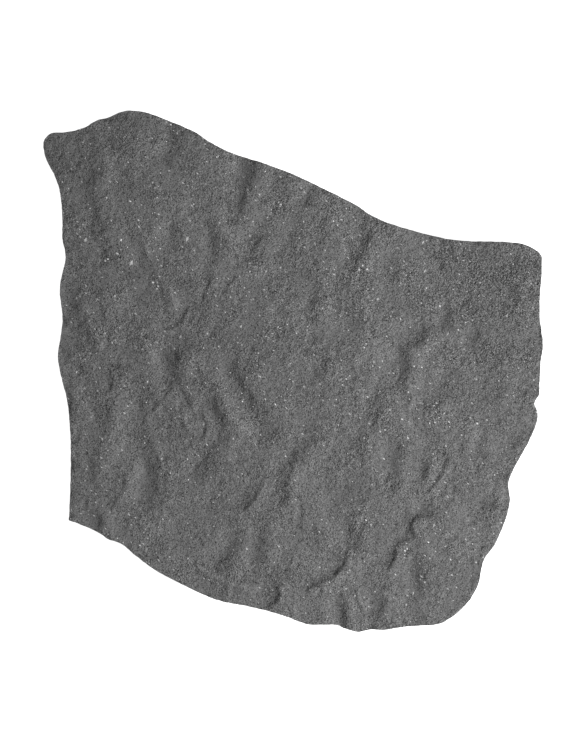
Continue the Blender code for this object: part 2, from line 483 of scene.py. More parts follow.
# Places where the pale flecks are larger and more frequent.
FLECK_PATCHES = (
    Patch(1.7, 75.0, (-160, 110)),
    Patch(1.35, 80.0, (60, 110)),
    Patch(0.7, 70.0, (-20, -150)),
)

# Smaller waviness that leans the way the slab split, and the pits in it.
RIPPLES = (
    Ripple(0.4, 33.0, stretch=1.2, bearing=14.0, lean=0.22),
    Ripple(0.4, 16.0, stretch=0.8, bearing=20.0, lean=0.3),
    Ripple(0.27, 8.4, stretch=0.8, bearing=-12.0, lean=0.4),
    Ripple(0.2, 4.6, lean=0.4),
)
PITS = (Pits(0.5, 7.0), Pits(0.6, 11.0, 0.36))

# How unevenly those lie over the face, and how far the folds wander along X and along Y.
PATCHINESS = Ripple(0.75, 24.0)
WANDERINGS = (Ripple(2.0, 12.0), Ripple(2.2, 13.0))


@dataclass(frozen=True)
class Stations:
    """Places round the slab's widest line, evenly spaced along each of its four sides.

    Attributes:
        widest: places on the widest line, counter-clockwise from the near left corner.
        inward: unit vectors into the slab.
        across: how many steps there are along the near side, and along the far side.
        along: how many steps there are along the right side, and along the left side.
    """

    widest: np.ndarray
    inward: np.ndarray
    across: int
    along: int

    def index(self, i: int, j: int) -> int:
        """Finds the station beside a corner on the rim of the face's grid.

        Args:
            i: the corner's number across the slab.
            j: the corner's number along the slab.

        Returns:
            The station's number.
        """
        if j == 0:
            return i
        if i == self.across:
            return self.across + j
        if j == self.along:
            return 2 * self.across + self.along - i
        return (2 * self.across + 2 * self.along - j) % len(self.widest)


@dataclass
class Outline:
    """The slab's widest line as the CAD solid has it, and how the rough edge wanders in from it.

    Attributes:
        node: the CAD node.
        weld: how near two corners of the CAD mesh are when they are the same.
        slack: how far a corner may lie off the widest line's level.
        crumble: scale of the wandering.
        crumble_pitch: spacing of the wandering.
        crumble_mean: middle of the wandering, against its scale.
        crumble_spread: how far it goes either way, against its scale.
        crumble_most: its furthest, against its scale.
        tangent_reach: stations on each side that the edge's direction is taken over.
    """

    node: bpy.types.Object
    weld: float = 0.01 * MM
    slack: float = 0.02 * MM
    crumble: float = 0.35 * MM
    crumble_pitch: float = 5.5 * MM
    crumble_mean: float = 0.35
    crumble_spread: float = 0.9
    crumble_most: float = 1.4
    tangent_reach: int = 3

    def ring(self) -> np.ndarray:
        """Walks round the widest line in the CAD solid.

        Returns:
            Its corners, one to a row, counter-clockwise.
        """
        bm = bmesh.new()
        bm.from_mesh(self.node.data)
        bmesh.ops.remove_doubles(bm, verts=bm.verts, dist=self.weld)
        start = max(bm.verts, key=lambda vert: vert.co.x)
        level = start.co.z
        found, last, vert = [], None, start
        while vert is not None:
            found.append(vert.co.xy)
            near = [edge.other_vert(vert) for edge in vert.link_edges]
            near = [v for v in near if abs(v.co.z - level) < self.slack and v is not last and v is not start]
            last, vert = vert, near[0] if near else None
        bm.free()
        places = np.array(found)
        x, y = places.T
        turning = np.sum(x * np.roll(y, -1) - y * np.roll(x, -1))
        return places if turning > 0 else places[::-1]

    @staticmethod
    def smooth(ring: np.ndarray, share: np.ndarray) -> np.ndarray:
        """Reads the smooth closed curve through a ring of places.

        Args:
            ring: the places, one to a row.
            share: where to read the curve, as fractional indices of the ring.

        Returns:
            Places on the curve, one to a row.
        """
        whole = np.floor(share).astype(int)
        t = (share - whole)[:, None]
        before, start, end, after = (ring[(whole + step) % len(ring)] for step in (-1, 0, 1, 2))
        bend = 2 * before - 5 * start + 4 * end - after
        return start + 0.5 * t * ((end - before) + t * (bend + t * (3 * (start - end) + after - before)))

    def stations(self, across: int, along: int) -> Stations:
        """Spaces stations round the line.

        Args:
            across: steps along the near and the far side.
            along: steps along the right and the left side.

        Returns:
            The stations.
        """
        ring = self.ring()
        ring = np.roll(ring, -np.argmin(ring[:, 0] + ring[:, 1]), axis=0)
        x, y = ring.T
        corners = [0, int(np.argmax(x - y)), int(np.argmax(x + y)), int(np.argmax(y - x)), len(ring)]
        steps = np.linalg.norm(np.roll(ring, -1, axis=0) - ring, axis=1)
        travelled = np.concatenate([[0.0], np.cumsum(steps)])
        shares = []
        for first, last, count in zip(corners, corners[1:], (across, along, across, along)):
            stops = np.linspace(travelled[first], travelled[last], count + 1)[:-1]
            shares.append(np.interp(stops, travelled, np.arange(len(travelled))))
        places = self.smooth(ring, np.concatenate(shares))
        tangent = np.roll(places, -self.tangent_reach, axis=0) - np.roll(places, self.tangent_reach, axis=0)
        inward = np.stack([-tangent[:, 1], tangent[:, 0]], axis=1)
        inward /= np.linalg.norm(inward, axis=1)[:, None]
        wander = [noise.fractal(Vector((*p, 0)) / self.crumble_pitch, *CRUMBLE_SCALES) for p in places]
        wander = np.clip(self.crumble_mean + self.crumble_spread * np.array(wander), 0.0, self.crumble_most)
        return Stations(places + inward * (self.crumble * wander)[:, None], inward, across, along)


@dataclass
class CleftFace:
    """The riven top face, as a grid of places that fills the outline.

    Attributes:
        stations: places round the widest line.
        node: the CAD node, which gives the face's own swells.
        relaxings: how often the grid is evened out, which opens its cramped corners.
        roll: how far the face stops short of the widest line.
        swell_reach: how far the CAD's heights are smoothed.
        swell_facing: how far up a corner of the CAD mesh faces at least, for its height to count.
        swell_level: how high it lies at least, as a share of the CAD box's height.
        arris_drop: how far the worn arris falls away at the rim.
        arris_reach: how far into the face that fall is felt.
        rim_lift: how much of the CAD rim's broad fall is made good, so that the face runs level to its arris.
        lift_reach: how far into the face that is felt.
        chips: of the arris.
        chip_reach: how far into the face a chip reaches.
        sink: how far the whole face lies below the CAD's heights.
        flattening: how gently the highest crests are held under the top of the CAD's box.
        hollow_scales: smoothing passes that give the level round a corner, and how far below it is fully hollow.
        x: X of each corner of the grid, one row for each line across the slab.
        y: Y of each corner.
        z: Z of each corner.
        finish: values at each corner that the finishes read, by attribute name.
    """

    stations: Stations
    node: bpy.types.Object
    relaxings: int = 40
    roll: float = 0.9 * MM
    swell_reach: float = 9.0 * MM
    swell_facing: float = 0.3
    swell_level: float = 0.8
    arris_drop: float = 0.2 * MM
    arris_reach: float = 1.4 * MM
    rim_lift: float = 0.45 * MM
    lift_reach: float = 7.0 * MM
    chips: Pits = Pits(1.6, 13.0, level=0.12, slope=0.5)
    chip_reach: float = 4.5 * MM
    sink: float = 0.4 * MM
    flattening: float = 0.3 * MM
    hollow_scales: tuple[tuple[int, float], ...] = ((4, 0.12 * MM), (40, 0.6 * MM))
    x: np.ndarray = field(init=False)
    y: np.ndarray = field(init=False)
    z: np.ndarray = field(init=False)
    finish: dict[str, np.ndarray] = field(init=False)

    def __post_init__(self) -> None:
        """Works out where every corner of the grid lies, and what its finish reads."""
        self.x, self.y = self.places()
        self.z = self.levels()
        # How hollow each corner lies, which the riven finish paints as shade in hollows and light on crests.
        self.finish = {"hollow": self.hollowness()}
        for name, patches in (("shade", SHADE_PATCHES), ("coarse", COARSE_PATCHES), ("flecks", FLECK_PATCHES)):
            self.finish[name] = math.prod(patch.strengths(self.x / MM, self.y / MM) for patch in patches)
        self.finish["coarse"] *= self.patchiness()
        self.finish["split"] = np.zeros_like(self.x)

    def places(self) -> tuple[np.ndarray, np.ndarray]:
        """X and Y of each corner of the grid, blended in from the four sides of the rim.

        Returns:
            Two arrays, one row for each line of the grid across the slab.
        """
        s = self.stations
        rim = s.widest + s.inward * self.roll
        rim = np.concatenate([rim, rim[:1]])
        stops = np.cumsum([0, s.across, s.along, s.across, s.along])
        near, right, far, left = (rim[a : b + 1] for a, b in zip(stops, stops[1:]))
        far, left = far[::-1], left[::-1]
        u = np.linspace(0, 1, s.across + 1)[None, :, None]
        v = np.linspace(0, 1, s.along + 1)[:, None, None]
        sides = (1 - v) * near[None] + v * far[None] + (1 - u) * left[:, None] + u * right[:, None]
        flat = (1 - u) * (1 - v) * near[0] + u * (1 - v) * near[-1] + (1 - u) * v * far[0] + u * v * far[-1]
        grid = sides - flat
        for _ in range(self.relaxings):
            grid[1:-1, 1:-1] = (grid[:-2, 1:-1] + grid[2:, 1:-1] + grid[1:-1, :-2] + grid[1:-1, 2:]) / 4
        return grid[..., 0], grid[..., 1]

    def swells(self) -> np.ndarray:
        """The CAD face's own heights, smoothed.

        Returns:
            The height at each corner of the grid, in metres.
        """
        low = self.swell_level * cad_box[1].z
        corners = self.node.data.vertices
        tops = [vert.co for vert in corners if vert.normal.z > self.swell_facing and vert.co.z > low]
        known = np.array([(co.x, co.y, co.z) for co in tops])
        found = np.empty_like(self.x)
        for row, (x, y) in enumerate(zip(self.x, self.y)):
            apart = (x[:, None] - known[:, 0]) ** 2 + (y[:, None] - known[:, 1]) ** 2
            weight = np.exp(-apart / (2 * self.swell_reach**2))
            found[row] = weight @ known[:, 2] / weight.sum(axis=1)
        return found

    def rim_distance(self) -> np.ndarray:
        """How far the grid lies inside the widest line.

        Returns:
            The distance at each corner of the grid, in metres.
        """
        tree = KDTree(len(self.stations.widest))
        for i, place in enumerate(self.stations.widest):
            tree.insert((*place, 0), i)
        tree.balance()
        found = [tree.find((x, y, 0))[2] for x, y in zip(self.x.flat, self.y.flat)]
        return np.array(found).reshape(self.x.shape)

    def patchiness(self) -> np.ndarray:
        """How rough each corner is against the rest, where the cleft ran clean or tore."""
        return 1 + PATCHINESS.heights(self.x / MM, self.y / MM)

    def levels(self) -> np.ndarray:
        """How high the face stands, held under the CAD box's top.

        Returns:
            The height at each corner of the grid, in metres.
        """
        x, y = self.x / MM, self.y / MM
        bent = [straight + wandering.heights(x, y) for straight, wandering in zip((x, y), WANDERINGS)]
        relief = sum(feature.heights(*bent) for feature in (*FOLDS, *SCARPS))
        relief += self.patchiness() * sum(feature.heights(x, y) for feature in (*RIPPLES, *PITS))
        relief += sum(ledge.heights(x, y) for ledge in LEDGES)
        inside = self.rim_distance() - self.roll
        relief += self.chips.heights(x, y) * np.exp(-((inside / self.chip_reach) ** 2))
        lift = self.rim_lift * np.exp(-inside / self.lift_reach)
        fall = self.arris_drop * np.exp(-inside / self.arris_reach)
        level = self.swells() + relief * MM + lift - fall - self.sink
        below = (cad_box[1].z - level) / self.flattening
        return cad_box[1].z - self.flattening * np.log1p(np.exp(below))

    @staticmethod
    def blurred(level: np.ndarray, passes: int) -> np.ndarray:
        """Smooths an array by its neighbours.

        Args:
            level: the array, of two dimensions.
            passes: how many times it is smoothed both ways.

        Returns:
            The smoothed array.
        """
        for _ in range(2 * passes):
            wide = np.pad(level, ((1, 1), (0, 0)), mode="edge")
            level = ((wide[:-2] + 2 * wide[1:-1] + wide[2:]) / 4).T
        return level

    def hollowness(self) -> np.ndarray:
        """How deep the face lies below its surroundings, which the riven finish turns into painted shade in the hollows
        and painted light on the crests.

        Returns:
            A value at each corner of the grid, from -1 on a crest to 1 in a hollow.
        """
        scales = self.hollow_scales
        found = sum(np.clip((self.blurred(self.z, passes) - self.z) / depth, -1, 1) for passes, depth in scales)
        return found / len(scales)


@dataclass
class SplitEdge:
    """The side that the trimming hammer split off, from the face's rim down to the sawn back.

    Attributes:
        stations: places round the widest line.
        rows: rings of corners between the rim and the foot.
        crowding: how much closer the rings lie towards the rim; 1 spaces them evenly.
        darkening: how much of the split side's darker shade each ring below the rim adds.
        widest_share: how far down the side its widest line runs, as a share.
        widest_wander: how far that line wanders up and down, as a share.
        widest_pitch: spacing of that wandering.
        lean: how far the side leans in from its widest line to the foot.
        scoop_depth: deepest scoop that the hammer left.
        scoop_pitch: spacing of the scoops.
        scoop_squatness: how much wider the scoops are than they are high.
        scoop_rounding: how rounded the ridges between them are; 1 leaves them straight.
        grit_depth: depth of the rough split surface.
        grit_pitch: spacing of its bumps.
        grit_mean: middle of the grit, against its depth.
        rough_start: how far below the widest line the side is fully rough, as a share.
        rough_fading: how much of the roughness is gone at the foot.
        foot_level: height where the side meets the chipped edge of the back.
        foot_chip: widest chip of that edge.
        foot_chip_least: narrowest chip, as a share of the widest.
        foot_chip_pitch: spacing of the chips.
    """

    stations: Stations
    rows: int = 20
    crowding: float = 1.2
    darkening: float = 0.4
    widest_share: float = 0.2
    widest_wander: float = 0.16
    widest_pitch: float = 30.0 * MM
    lean: float = 2.6 * MM
    scoop_depth: float = 3.2 * MM
    scoop_pitch: float = 17.0 * MM
    scoop_squatness: float = 1.5
    scoop_rounding: float = 0.6
    grit_depth: float = 1.1 * MM
    grit_pitch: float = 6.0 * MM
    grit_mean: float = 0.5
    rough_start: float = 0.18
    rough_fading: float = 0.45
    foot_level: float = 1.1 * MM
    foot_chip: float = 1.4 * MM
    foot_chip_least: float = 0.25
    foot_chip_pitch: float = 7.0 * MM

    def inset(self, index: int, level: float, share: float, roll: float) -> float:
        """How far in from the widest line the side lies.

        Args:
            index: which station.
            level: height above the back.
            share: how far down the side, from 0 at the rim to 1 at the foot.
            roll: how far in the rim lies.

        Returns:
            The distance in metres.
        """
        place = Vector((*self.stations.widest[index], level))
        wander = noise.noise(place.xy.to_3d() / self.widest_pitch)
        widest_share = self.widest_share + self.widest_wander * wander
        if share < widest_share:
            return roll * (1 - share / widest_share) ** 2
        below = (share - widest_share) / (1 - widest_share)
        squat = Vector((place.x, place.y, self.scoop_squatness * place.z))
        near, second = noise.voronoi(squat / self.scoop_pitch)[0][:2]
        scoop = self.scoop_depth * min(1.0, second - near) ** self.scoop_rounding
        grit = self.grit_depth * (self.grit_mean + noise.fractal(place / self.grit_pitch, *GRIT_SCALES))
        rough = min(1.0, below / self.rough_start) * (1 - self.rough_fading * below)
        return self.lean * below + (scoop + grit) * rough

    def place(self, index: int, row: int, rim: Vector) -> Vector:
        """Where a corner of the side lies.

        Args:
            index: which station.
            row: which ring below the rim, from 1 to rows + 1, the last being the rim of the back.
            rim: the corner of the face above it.

        Returns:
            The place in metres.
        """
        edge, into = Vector(self.stations.widest[index]), Vector(self.stations.inward[index])
        roll = (rim.xy - edge).length
        if row > self.rows:
            pick = 0.5 + 0.5 * noise.noise((*edge / self.foot_chip_pitch, CHIP_LAYER))
            chip = self.foot_chip * (self.foot_chip_least + (1 - self.foot_chip_least) * pick)
            return (edge + into * (self.inset(index, self.foot_level, 1.0, roll) + chip)).to_3d()
        share = (row / self.rows) ** self.crowding
        level = rim.z + (self.foot_level - rim.z) * share
        flat = edge + into * self.inset(index, level, share, roll)
        return Vector((flat.x, flat.y, level))


class Nodes:
    """Adds nodes to one node tree and links them."""

    def __init__(self, tree: bpy.types.NodeTree) -> None:
        """Keeps the tree.

        Args:
            tree: a material's, a world's or a group's tree.
        """
        self.tree = tree

    def feed(self, node: bpy.types.Node, inputs: Inputs) -> None:
        """Sets or links a node's inputs.

        Args:
            node: the node.
            inputs: by socket name or index, a value, or the output socket that feeds it.
        """
        for socket, value in inputs.items():
            if isinstance(value, bpy.types.NodeSocket):
                self.tree.links.new(value, node.inputs[socket])
            else:
                node.inputs[socket].default_value = value

    def add(self, kind: str, inputs: Inputs | None = None, **settings: object) -> bpy.types.Node:
        """Adds a node.

        Args:
            kind: the node's type.
            inputs: as feed takes them.
            **settings: the node's own properties.

        Returns:
            The node.
        """
        node = self.tree.nodes.new(kind)
        for name, value in settings.items():
            setattr(node, name, value)
        self.feed(node, inputs or {})
        return node

    def math(self, operation: str, *values: float | bpy.types.NodeSocket) -> bpy.types.NodeSocket:
        """Adds a Math node and returns its output."""
        return self.add("ShaderNodeMath", dict(enumerate(values)), operation=operation).outputs[0]

    def vector(self, operation: str, *values: tuple | bpy.types.NodeSocket) -> bpy.types.NodeSocket:
        """Adds a Vector Math node and returns its output."""
        return self.add("ShaderNodeVectorMath", dict(enumerate(values)), operation=operation).outputs[0]

    def product(self, first: bpy.types.NodeSocket, *others: float | bpy.types.NodeSocket) -> bpy.types.NodeSocket:
        """Multiplies values.

        Args:
            first: the first value.
            *others: the values that it is multiplied by.

        Returns:
            The product's socket.
        """
        for other in others:
            first = self.math("MULTIPLY", first, other)
        return first

    def mix(self, factor: bpy.types.NodeSocket, none: bpy.types.NodeSocket, full: float) -> bpy.types.NodeSocket:
        """Adds a Mix node that blends from one value to another by a factor, and returns its output."""
        return self.add("ShaderNodeMix", {"Factor": factor, "A": none, "B": full}, data_type="FLOAT").outputs["Result"]

    def ramp(
        self, value: bpy.types.NodeSocket, low: float, high: float, start: float, end: float
    ) -> bpy.types.NodeSocket:
        """Adds a Map Range node, from low and high to start and end and kept between them, and returns its output."""
        inputs = {"Value": value, "From Min": low, "From Max": high, "To Min": start, "To Max": end}
        return self.add("ShaderNodeMapRange", inputs).outputs["Result"]

    def attribute(self, name: str) -> bpy.types.NodeSocket:
        """Reads one of the piece's own attributes."""
        return self.add("ShaderNodeAttribute", attribute_name=name).outputs["Fac"]

    def group(self, group: bpy.types.NodeTree, inputs: Inputs) -> bpy.types.NodeOutputs:
        """Places a node group and returns its outputs."""
        return self.add("ShaderNodeGroup", inputs, node_tree=group).outputs


def new_group(
    name: str, inputs: dict[str, float | None], outputs: tuple[str, ...]
) -> tuple[Nodes, bpy.types.NodeOutputs, bpy.types.Node]:
    """Starts a shader node group.

    Args:
        name: the group's name.
        inputs: default of each input, or None for a vector.
        outputs: names of its float outputs.

    Returns:
        The group's Nodes helper, the values it is given, and its output node.
    """
    group = bpy.data.node_groups.new(name, "ShaderNodeTree")
    for socket, default in inputs.items():
        kind = "NodeSocketVector" if default is None else "NodeSocketFloat"
        made = group.interface.new_socket(name=socket, in_out="INPUT", socket_type=kind)
        if default is not None:
            made.default_value = default
    for socket in outputs:
        group.interface.new_socket(name=socket, in_out="OUTPUT", socket_type="NodeSocketFloat")
    nodes = Nodes(group)
    return nodes, nodes.add("NodeGroupInput").outputs, nodes.add("NodeGroupOutput")


@dataclass(frozen=True)
class MineralGrain:
    """Fine mineral grain: each crystal has its own shade, and the broken surface is rough between them.

    Attributes:
        clump_scale: how fine clumps of like crystals are, against the crystals.
        clump_share: how much of a crystal's shade is its clump's.
        shaded_pit_share: how many of the crystals are painted dark as pits, painted shade as if a crystal had fallen
            out.
        grit_scale: how fine the grit is, against the crystals.
        grit_harshness: how strong the grit's finest scale is.
        flake_scales: how fine the broad and the narrow flakes are, against the crystals.
        flake_narrow: height of the narrow flakes, against the broad ones.
        flake_height: height of the flakes, against the grit.
        sway_scale: how finely the flakes' edges are bent, against the crystals.
        sway: how far they are bent.
    """

    clump_scale: float = 0.45
    clump_share: float = 0.18
    shaded_pit_share: float = 0.12
    grit_scale: float = 0.36
    grit_harshness: float = 0.8
    flake_scales: tuple[float, float] = (0.12, 0.26)
    flake_narrow: float = 0.45
    flake_height: float = 0.5
    sway_scale: float = 0.2
    sway: float = 4.0 * MM

    def group(self) -> bpy.types.NodeTree:
        """Builds the node group.

        Returns:
            The group, which gives each crystal's Shade, the Pit mask of crystals painted dark as the shade of tiny
            pits, and the surface's Height.
        """
        nodes, given, result = new_group("mineral_grain", {"Place": None, "Grain": MM}, ("Shade", "Pit", "Height"))
        place = given["Place"]
        scale = nodes.math("DIVIDE", 1.0, given["Grain"])
        picks = []
        for fineness in (1.0, self.clump_scale):
            cells = nodes.add("ShaderNodeTexVoronoi", {"Vector": place, "Scale": nodes.product(scale, fineness)})
            picks.append(nodes.add("ShaderNodeSeparateColor", {"Color": cells.outputs["Color"]}).outputs)
        clump = nodes.product(picks[1][0], self.clump_share)
        shade = nodes.math("MULTIPLY_ADD", picks[0][0], 1 - self.clump_share, clump)
        # Pit marks crystals whose colour gets painted shade, as if each had fallen out; the Height has no pit there.
        pit = nodes.math("LESS_THAN", picks[0][1], self.shaded_pit_share)
        grit = nodes.add(
            "ShaderNodeTexNoise",
            {
                "Vector": place, "Scale": nodes.product(scale, self.grit_scale),
                "Detail": 2.0, "Roughness": self.grit_harshness,
            },
        )
        sway_scale = nodes.product(scale, self.sway_scale)
        sway = nodes.add("ShaderNodeTexNoise", {"Vector": place, "Scale": sway_scale, "Detail": 2.0})
        bent = nodes.vector("MULTIPLY_ADD", sway.outputs["Color"], (self.sway,) * 3, place)
        flakes = []
        for fineness in self.flake_scales:
            cells = nodes.add("ShaderNodeTexVoronoi", {"Vector": bent, "Scale": nodes.product(scale, fineness)})
            flakes.append(cells.outputs["Distance"])
        flaking = nodes.math("MULTIPLY_ADD", flakes[1], self.flake_narrow, flakes[0])
        height = nodes.math("MULTIPLY_ADD", flaking, self.flake_height, grit.outputs["Fac"])
        nodes.feed(result, {"Shade": shade, "Pit": pit, "Height": height})
        return nodes.tree


@dataclass(frozen=True)
class PaleFlecks:
    """Sparse pale crystals of uneven size, like short laths.

    Attributes:
        wobble_scale: how finely their outlines wobble, in waves to a metre.
        wobble: how far the outlines wobble.
        squeeze: how the pattern is squeezed along X, Y and Z.
        size_least: smallest size, against the radius.
        size_spread: how much larger the largest is.
        soft_edge: how much of a fleck is its soft edge.
        bright_least: faintest fleck's brightness.
        bright_spread: how much brighter the brightest is.
    """

    wobble_scale: float = 700.0
    wobble: float = 1.6 * MM
    squeeze: tuple[float, float, float] = (1.0, 0.55, 0.8)
    size_least: float = 0.35
    size_spread: float = 0.8
    soft_edge: float = 0.35
    bright_least: float = 0.4
    bright_spread: float = 0.6

    def group(self) -> bpy.types.NodeTree:
        """Builds the node group.

        Returns:
            The group, which gives the Mask of the flecks.
        """
        nodes, given, result = new_group(
            "pale_flecks", {"Place": None, "Spacing": 0.01, "Radius": 0.0012, "Share": 0.5, "Turn": 0.0}, ("Mask",)
        )
        noise_inputs = {"Vector": given["Place"], "Scale": self.wobble_scale, "Detail": 1.0}
        wobble = nodes.add("ShaderNodeTexNoise", noise_inputs).outputs["Color"]
        shift = nodes.vector("SUBTRACT", wobble, (0.5, 0.5, 0.5))
        shifted = nodes.vector("MULTIPLY_ADD", shift, (self.wobble,) * 3, given["Place"])
        turn = {"Vector": shifted, "Angle": given["Turn"]}
        turned = nodes.add("ShaderNodeVectorRotate", turn, rotation_type="Z_AXIS").outputs["Vector"]
        laths = nodes.vector("MULTIPLY", turned, self.squeeze)
        scale = nodes.math("DIVIDE", 1.0, given["Spacing"])
        cells = nodes.add("ShaderNodeTexVoronoi", {"Vector": laths, "Scale": scale}, distance="MANHATTAN").outputs
        chance = nodes.add("ShaderNodeSeparateColor", {"Color": cells["Color"]}).outputs
        kept = nodes.math("LESS_THAN", chance[0], given["Share"])
        size = nodes.math("MULTIPLY_ADD", chance[1], self.size_spread, self.size_least)
        reach = nodes.product(given["Radius"], size, scale)
        depth = nodes.math("SUBTRACT", 1.0, nodes.math("DIVIDE", cells["Distance"], reach))
        edge = nodes.ramp(depth, 0.0, self.soft_edge, 0.0, 1.0)
        bright = nodes.math("MULTIPLY_ADD", chance[2], self.bright_spread, self.bright_least)
        nodes.feed(result, {"Mask": nodes.product(edge, kept, bright)})
        return nodes.tree


@dataclass(frozen=True)
class FleckSize:
    """One size of pale crystal.

    Attributes:
        spacing: of the places where one may lie.
        radius: of a fleck where the flecks attribute is nought.
        growth: how much that radius grows with the attribute.
        share: how many of the places hold one.
        turn: way the flecks lie, in radians.
        strength: how strongly they show.
    """

    spacing: float
    radius: float
    growth: float
    share: float
    turn: float
    strength: float


FLECK_SIZES = (
    FleckSize(spacing=11.0 * MM, radius=0.0, growth=1.25 * MM, share=0.78, turn=0.5, strength=1.0),
    FleckSize(spacing=2.8 * MM, radius=0.52 * MM, growth=0.3 * MM, share=0.6, turn=-0.9, strength=0.9),
)


@dataclass(frozen=True)
class BasaltFinish:
    """Basalt, riven or sawn.

    Attributes:
        name: the material's name.
        grey: the stone's mean colour, as one linear value.
        grain_contrast: how much the crystals differ in shade.
        tone_contrast: how much broad patches differ in shade.
        painted_hollow_shade: how much darker a hollow is painted than a crest: painted shade in the hollows, painted
            light on the crests.
        fleck_grey: colour of the pale crystals.
        roughness: of the stone's own surface.
        bump: height of the grain.
        saw_marks: height of the marks that a saw left.
        grain: size of a crystal.
        grain_range: crystal shades that give the darkest and the palest grain.
        painted_pit_shade: how much darker a pit is painted, as painted shade.
        tone_scale: how fine the broad patches are, in waves to a metre.
        tone_range: noise values that give the darkest and the palest patch.
        split_dark: how much darker the split side is.
        dull_grain: how much rougher the darkest crystals are.
        bright_grain: how much smoother the palest crystals are.
        fleck_roughness: of the pale crystals.
        saw_centre: how far the centre of the saw's arcs lies off the slab's middle.
        saw_scale: how close the arcs lie.
    """

    name: str
    grey: float
    grain_contrast: float
    tone_contrast: float
    painted_hollow_shade: float
    fleck_grey: float
    roughness: float
    bump: float
    saw_marks: float = 0.0
    grain: float = 0.62 * MM
    grain_range: tuple[float, float] = (0.1, 0.9)
    painted_pit_shade: float = 0.9
    tone_scale: float = 30.0
    tone_range: tuple[float, float] = (0.3, 0.7)
    split_dark: float = 0.14
    dull_grain: float = 0.08
    bright_grain: float = 0.1
    fleck_roughness: float = 0.42
    saw_centre: tuple[float, float, float] = (0.9, 0.35, 0.0)
    saw_scale: float = 26.0

    def material(self, grain: bpy.types.NodeTree, flecks: bpy.types.NodeTree) -> bpy.types.Material:
        """Builds the material.

        Args:
            grain: the grain group.
            flecks: the fleck group.

        Returns:
            The material.
        """
        made = bpy.data.materials.new(self.name)
        made.use_nodes = True
        nodes = Nodes(made.node_tree)
        place = nodes.add("ShaderNodeTexCoord").outputs["Object"]
        grains = nodes.group(grain, {"Place": place, "Grain": self.grain})
        coarse = nodes.attribute("coarse")
        fleck = self.fleck_mask(nodes, flecks, place)
        ground = nodes.product(self.shade(nodes, grains, coarse, place), self.grey)
        level = nodes.mix(fleck, ground, self.fleck_grey)
        colour = nodes.add("ShaderNodeCombineColor", {channel: level for channel in range(3)}).outputs["Color"]
        dullest, brightest = self.roughness + self.dull_grain, self.roughness - self.bright_grain
        matt = nodes.ramp(grains["Shade"], 0.0, 1.0, dullest, brightest)
        height = nodes.math("MULTIPLY", grains["Height"], nodes.product(coarse, self.bump))
        if self.saw_marks:
            height = nodes.math("ADD", height, self.saw_height(nodes, place))
        bump = nodes.add("ShaderNodeBump", {"Height": height, "Distance": 1.0, "Strength": 1.0})
        looks = {
            "Base Color": colour,
            "Roughness": nodes.mix(fleck, matt, self.fleck_roughness),
            "Normal": bump.outputs["Normal"],
        }
        nodes.feed(nodes.tree.nodes["Principled BSDF"], looks)
        return made

    @staticmethod
    def fleck_mask(nodes: Nodes, flecks: bpy.types.NodeTree, place: bpy.types.NodeSocket) -> bpy.types.NodeSocket:
        """Adds the pale crystals of every size.

        Args:
            nodes: the material's nodes.
            flecks: the fleck group.
            place: Object coordinates.

        Returns:
            How strongly a fleck shows, from 0 to 1.
        """
        plenty = nodes.attribute("flecks")
        masks = []
        for size in FLECK_SIZES:
            radius = nodes.math("MULTIPLY_ADD", plenty, size.growth, size.radius)
            inputs = {"Place": place, "Spacing": size.spacing, "Radius": radius, "Share": size.share, "Turn": size.turn}
            masks.append(nodes.product(nodes.group(flecks, inputs)["Mask"], size.strength))
        return nodes.math("MAXIMUM", *masks)

    def shade(
        self, nodes: Nodes, grains: bpy.types.NodeOutputs, coarse: bpy.types.NodeSocket, place: bpy.types.NodeSocket
    ) -> bpy.types.NodeSocket:
        """Adds up what makes the ground between the flecks paler or darker.

        Args:
            nodes: the material's nodes.
            grains: outputs of the grain group.
            coarse: how coarse the surface is.
            place: Object coordinates.

        Returns:
            The shade, against 1 for the stone's mean colour.
        """
        grit = nodes.ramp(grains["Shade"], *self.grain_range, -self.grain_contrast, self.grain_contrast)
        clouds = nodes.add("ShaderNodeTexNoise", {"Vector": place, "Scale": self.tone_scale, "Detail": 3.0})
        tone = clouds.outputs["Fac"]
        half_hollow_shade = self.painted_hollow_shade / 2
        return nodes.product(
            nodes.math("MULTIPLY_ADD", grit, coarse, 1.0),
            # Painted shade in the pits.
            nodes.math("MULTIPLY_ADD", grains["Pit"], -self.painted_pit_shade, 1.0),
            nodes.ramp(tone, *self.tone_range, 1 - self.tone_contrast, 1 + self.tone_contrast),
            nodes.attribute("shade"),
            # Painted shade in the hollows and painted light on the crests.
            nodes.ramp(nodes.attribute("hollow"), -1.0, 1.0, 1 + half_hollow_shade, 1 - half_hollow_shade),
            nodes.ramp(nodes.attribute("split"), 0.0, 1.0, 1.0, 1 - self.split_dark),
        )

    def saw_height(self, nodes: Nodes, place: bpy.types.NodeSocket) -> bpy.types.NodeSocket:
        """Adds the shallow arcs that a round saw blade leaves.

        Args:
            nodes: the material's nodes.
            place: Object coordinates.

        Returns:
            Their height in metres.
        """
        moved = nodes.add("ShaderNodeMapping", {"Vector": place, "Location": self.saw_centre}).outputs["Vector"]
        rings = nodes.add(
            "ShaderNodeTexWave",
            {"Vector": moved, "Scale": self.saw_scale, "Distortion": 1.6, "Detail": 2.0, "Detail Scale": 0.6},
            wave_type="RINGS", rings_direction="Z",
        )
        return nodes.product(rings.outputs["Fac"], self.saw_marks)


FINISHES = {
    Part.RIVEN: BasaltFinish(
        name="riven_basalt", grey=0.121, grain_contrast=0.52, tone_contrast=0.1, painted_hollow_shade=0.28,
        fleck_grey=0.68, roughness=0.84, bump=1.0 * MM,
    ),
    Part.SAWN: BasaltFinish(
        name="sawn_basalt", grey=0.15, grain_contrast=0.5, tone_contrast=0.05, painted_hollow_shade=0.0,
        fleck_grey=0.5, roughness=0.66, bump=0.1 * MM, saw_marks=0.12 * MM,
    ),
}


